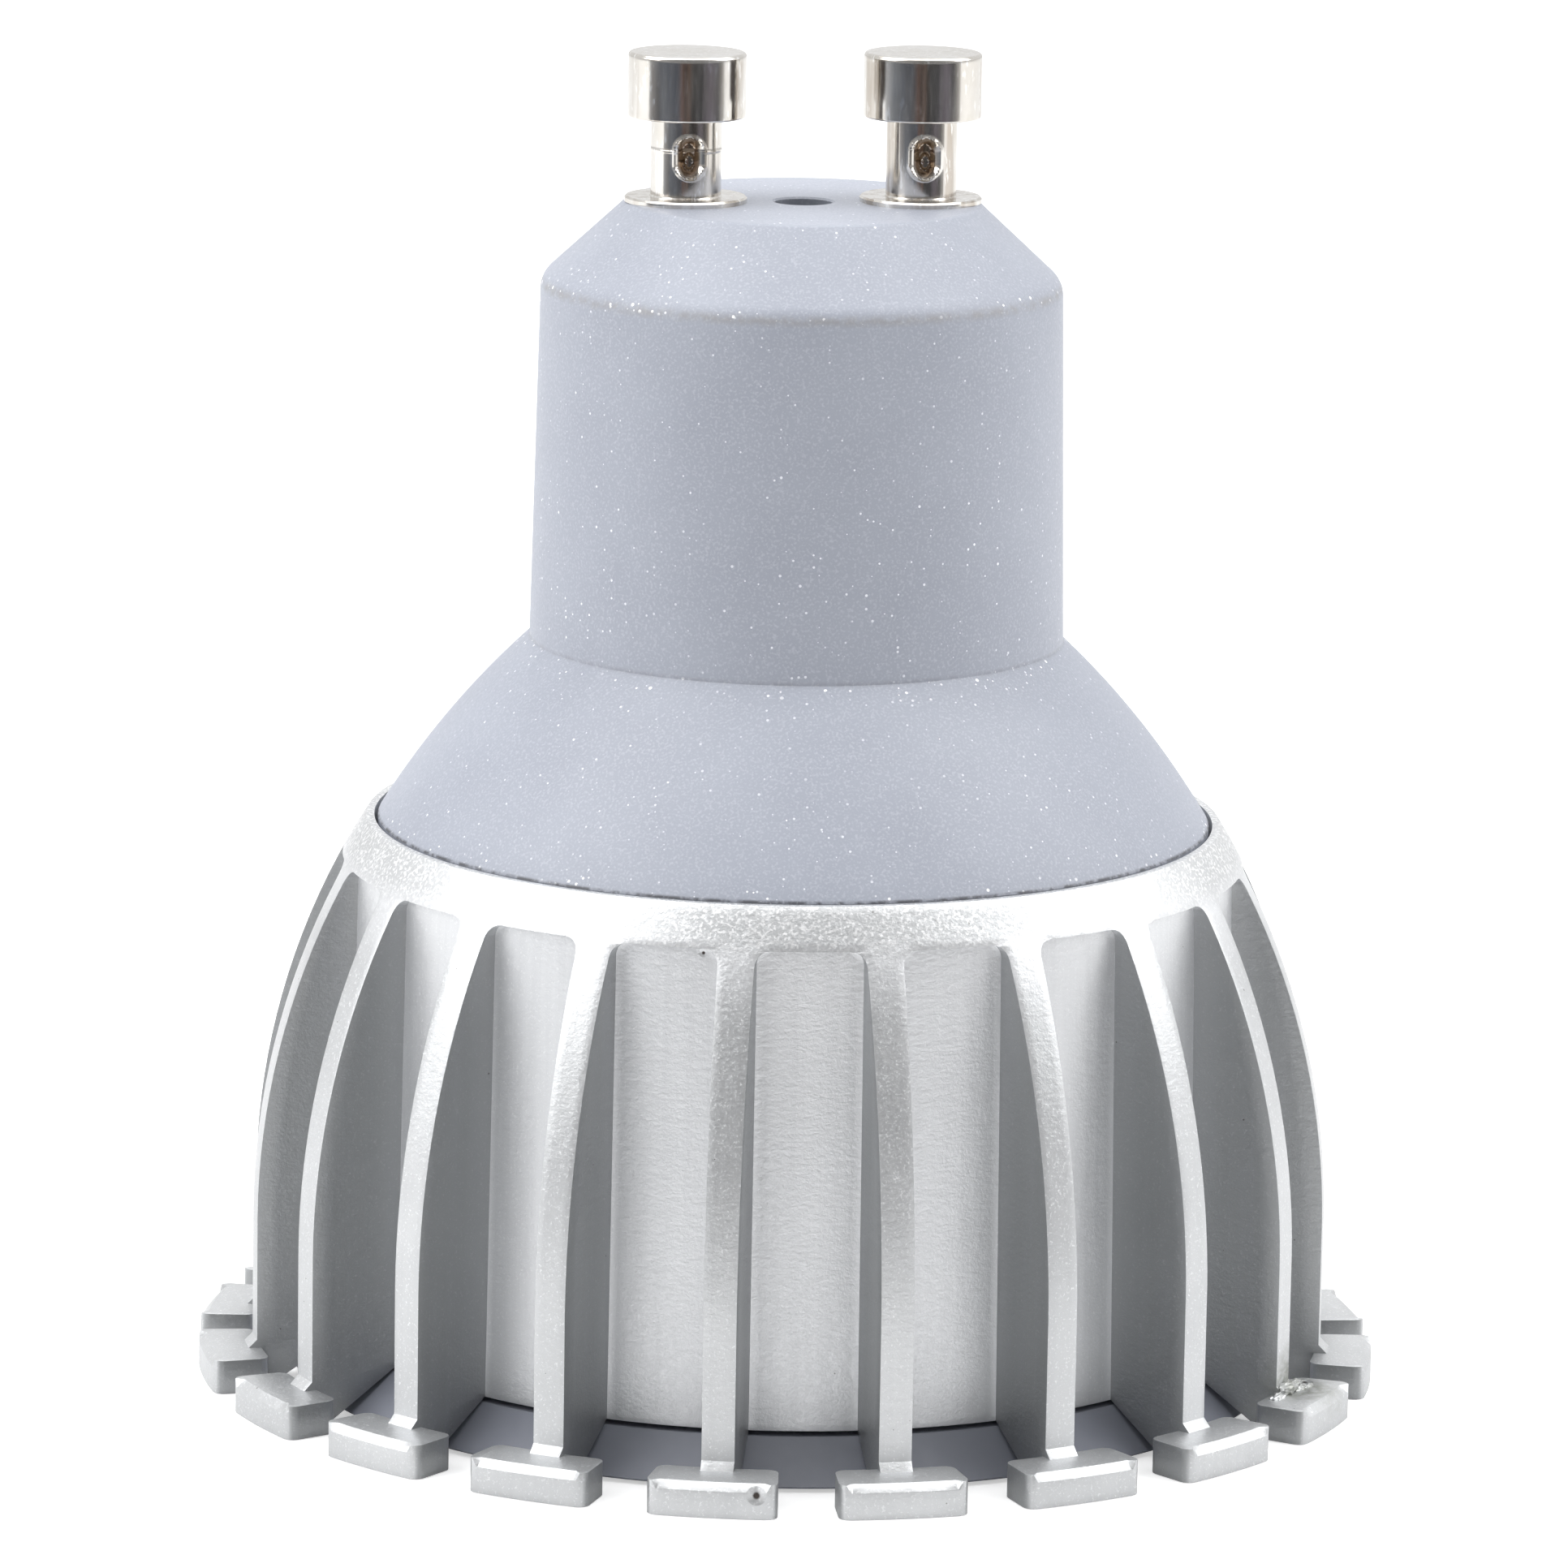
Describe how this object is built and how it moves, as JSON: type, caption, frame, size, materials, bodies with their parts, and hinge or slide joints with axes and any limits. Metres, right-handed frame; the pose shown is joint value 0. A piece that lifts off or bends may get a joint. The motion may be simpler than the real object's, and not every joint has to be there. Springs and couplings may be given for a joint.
{
  "type": "led spotlight bulb",
  "caption": "LED spotlight lamp with a twist-lock pin cap, a waisted plastic base, a bowed finned die-cast heatsink with an interrupted foot rim, and a lens cluster behind a plastic front ring.",
  "frame": {"origin": "centre of the front rim, in the plane of the feet that the lamp stands on", "axes": "+Z along the lamp's axis from the lenses to the contact pins; the two pins lie on X"},
  "size_m": [0.0508, 0.0508, 0.0569],
  "materials": {
    "cast_aluminium": "satin cast, fine grain",
    "housing_plastic": "matt moulded, fine texture",
    "nickel_plate": "bright nickel plate",
    "ring_plastic": "matt moulded",
    "holder_plastic": "smooth moulded",
    "lens_acrylic": "clear polished",
    "emitter_ceramic": "ceramic base, clear dome over yellow phosphor",
    "board_white": "white solder mask on aluminium",
    "pad_silicone": "soft filled silicone",
    "screw_steel": "zinc plated",
    "board_green": "green solder mask",
    "ferrite": "matt ferrite",
    "bobbin_plastic": "black moulded",
    "winding_tape": "yellow tape over copper wire",
    "can_sleeve": "shrunk sleeve",
    "chip_package": "moulded package",
    "resistor_coat": "baked coat",
    "wire_red": "wire insulation",
    "wire_black": "wire insulation",
    "wire_grey": "wire insulation"
  },
  "bodies": {
    "root": {"heatsink": "cast_aluminium", "base_housing": "housing_plastic", "contact_pin_left": "nickel_plate", "contact_pin_right": "nickel_plate", "front_ring": "ring_plastic", "lens_holder": "holder_plastic", "lens_1": "lens_acrylic", "lens_2": "lens_acrylic", "lens_3": "lens_acrylic", "lens_4": "lens_acrylic", "led_emitter_1": "emitter_ceramic", "led_emitter_2": "emitter_ceramic", "led_emitter_3": "emitter_ceramic", "led_emitter_4": "emitter_ceramic", "led_board": "board_white", "thermal_pad": "pad_silicone", "led_board_screws": "screw_steel", "housing_screws": "screw_steel", "driver_board": "board_green", "transformer_core_upper": "ferrite", "transformer_core_lower": "ferrite", "transformer_bobbin": "bobbin_plastic", "transformer_winding": "winding_tape", "input_capacitor": "can_sleeve", "output_capacitor": "can_sleeve", "bridge_rectifier": "chip_package", "control_chip": "chip_package", "output_diode": "chip_package", "fusible_resistor": "resistor_coat", "filter_inductor": "ferrite", "input_lead_left": "wire_grey", "input_lead_right": "wire_grey", "output_lead_red": "wire_red", "output_lead_black": "wire_black"}
  },
  "joints": []
}
